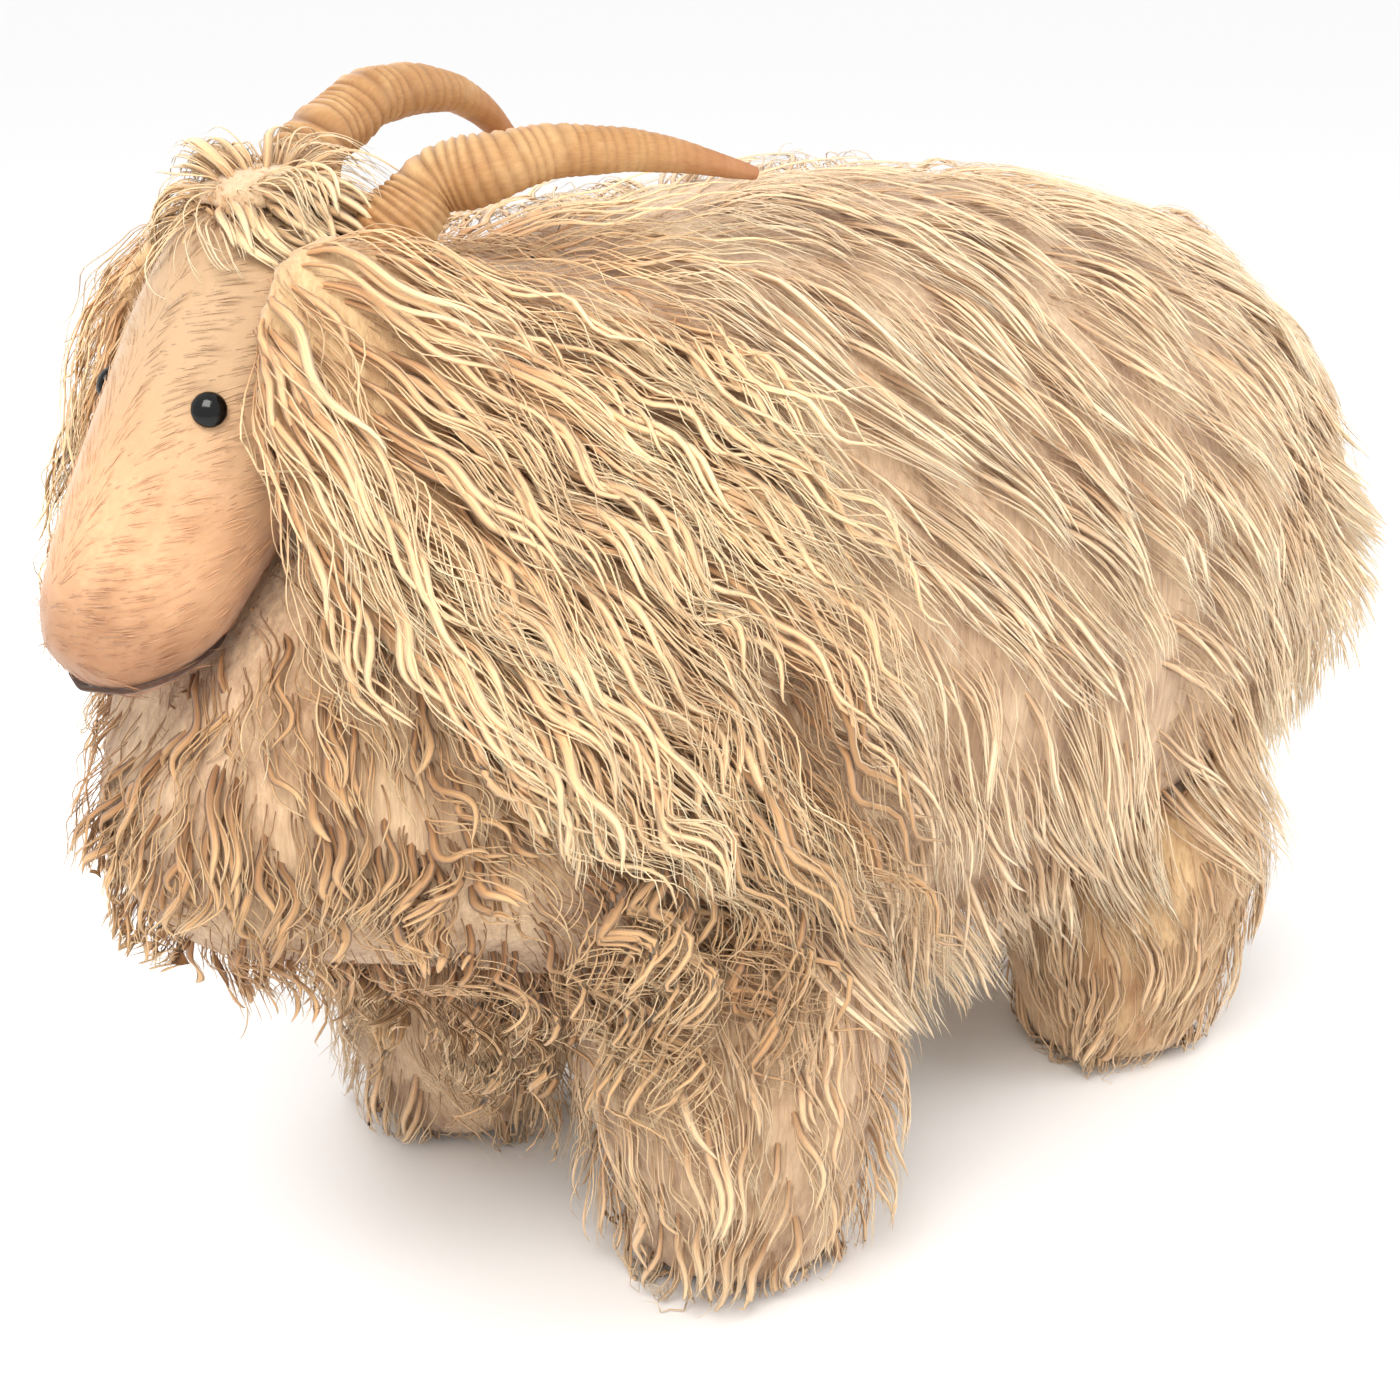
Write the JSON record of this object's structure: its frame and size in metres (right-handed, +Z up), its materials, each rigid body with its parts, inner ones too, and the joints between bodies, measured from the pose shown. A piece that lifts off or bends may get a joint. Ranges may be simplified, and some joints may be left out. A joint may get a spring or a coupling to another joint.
{
  "type": "stuffed goat figure",
  "caption": "Stuffed long-haired goat figure that stands like a footstool: wooden frame, padded body, curly fleece coat, short-haired face, ringed horns and hanging ears.",
  "frame": {"origin": "on the floor under the middle of the bounding box", "axes": "+Z up, -X the way the goat faces, -Y its left side"},
  "size_m": [1.0112, 0.4316, 0.6586],
  "materials": {
    "pine": "bare sawn softwood",
    "glide_steel": "plain zinc-plated",
    "wadding": "matt loose wadding",
    "face_hide": "short-haired hide, hair left on",
    "dark_leather": "matt",
    "black_button": "high gloss",
    "horn": "natural horn, ringed, half gloss",
    "golden_fleece": "long wavy fleece, silky",
    "fleece": "long curly fleece, silky",
    "belly_cloth": "plain weave"
  },
  "bodies": {
    "goat": {"spine_board": "pine", "shoulder_rail": "pine", "hip_rail": "pine", "side_rail_left": "pine", "side_rail_right": "pine", "leg_post_front_left": "pine", "foot_block_front_left": "pine", "foot_glide_front_left": "glide_steel", "leg_post_front_right": "pine", "foot_block_front_right": "pine", "foot_glide_front_right": "glide_steel", "leg_post_rear_left": "pine", "foot_block_rear_left": "pine", "foot_glide_rear_left": "glide_steel", "leg_post_rear_right": "pine", "foot_block_rear_right": "pine", "foot_glide_rear_right": "glide_steel", "neck_post": "pine", "body_wadding": "wadding", "skull_block": "pine", "head_padding": "wadding", "face_hide": "face_hide", "muzzle_welt": "dark_leather", "eye_left": "black_button", "eye_washer_left": "glide_steel", "horn_left": "horn", "horn_peg_left": "pine", "eye_right": "black_button", "eye_washer_right": "glide_steel", "horn_right": "horn", "horn_peg_right": "pine", "topknot": "golden_fleece", "chest_fleece": "fleece", "belly_cloth": "belly_cloth", "neck_fleece_left": "golden_fleece", "flank_fleece_left": "fleece", "rump_fleece_left": "fleece", "neck_fleece_right": "golden_fleece", "flank_fleece_right": "fleece", "rump_fleece_right": "fleece", "leg_sleeve_front_left": "fleece", "leg_sleeve_front_right": "fleece", "leg_sleeve_rear_left": "fleece", "leg_sleeve_rear_right": "fleece"},
    "left_ear": {"ear_left": "golden_fleece"},
    "right_ear": {"ear_right": "golden_fleece"},
    "tail_flap": {"tail": "fleece"}
  },
  "joints": [
    {"name": "ear_left_lift", "type": "hinge", "parent": "goat", "child": "left_ear", "pos_m": [-0.37, -0.046, 0.606], "axis": [-1, 0, 0], "range_deg": [0, 60]},
    {"name": "ear_right_lift", "type": "hinge", "parent": "goat", "child": "right_ear", "pos_m": [-0.37, 0.046, 0.606], "axis": [1, 0, 0], "range_deg": [0, 60]},
    {"name": "tail_lift", "type": "hinge", "parent": "goat", "child": "tail_flap", "pos_m": [0.352, 0, 0.534], "axis": [0, -1, 0], "range_deg": [0, 60]}
  ]
}
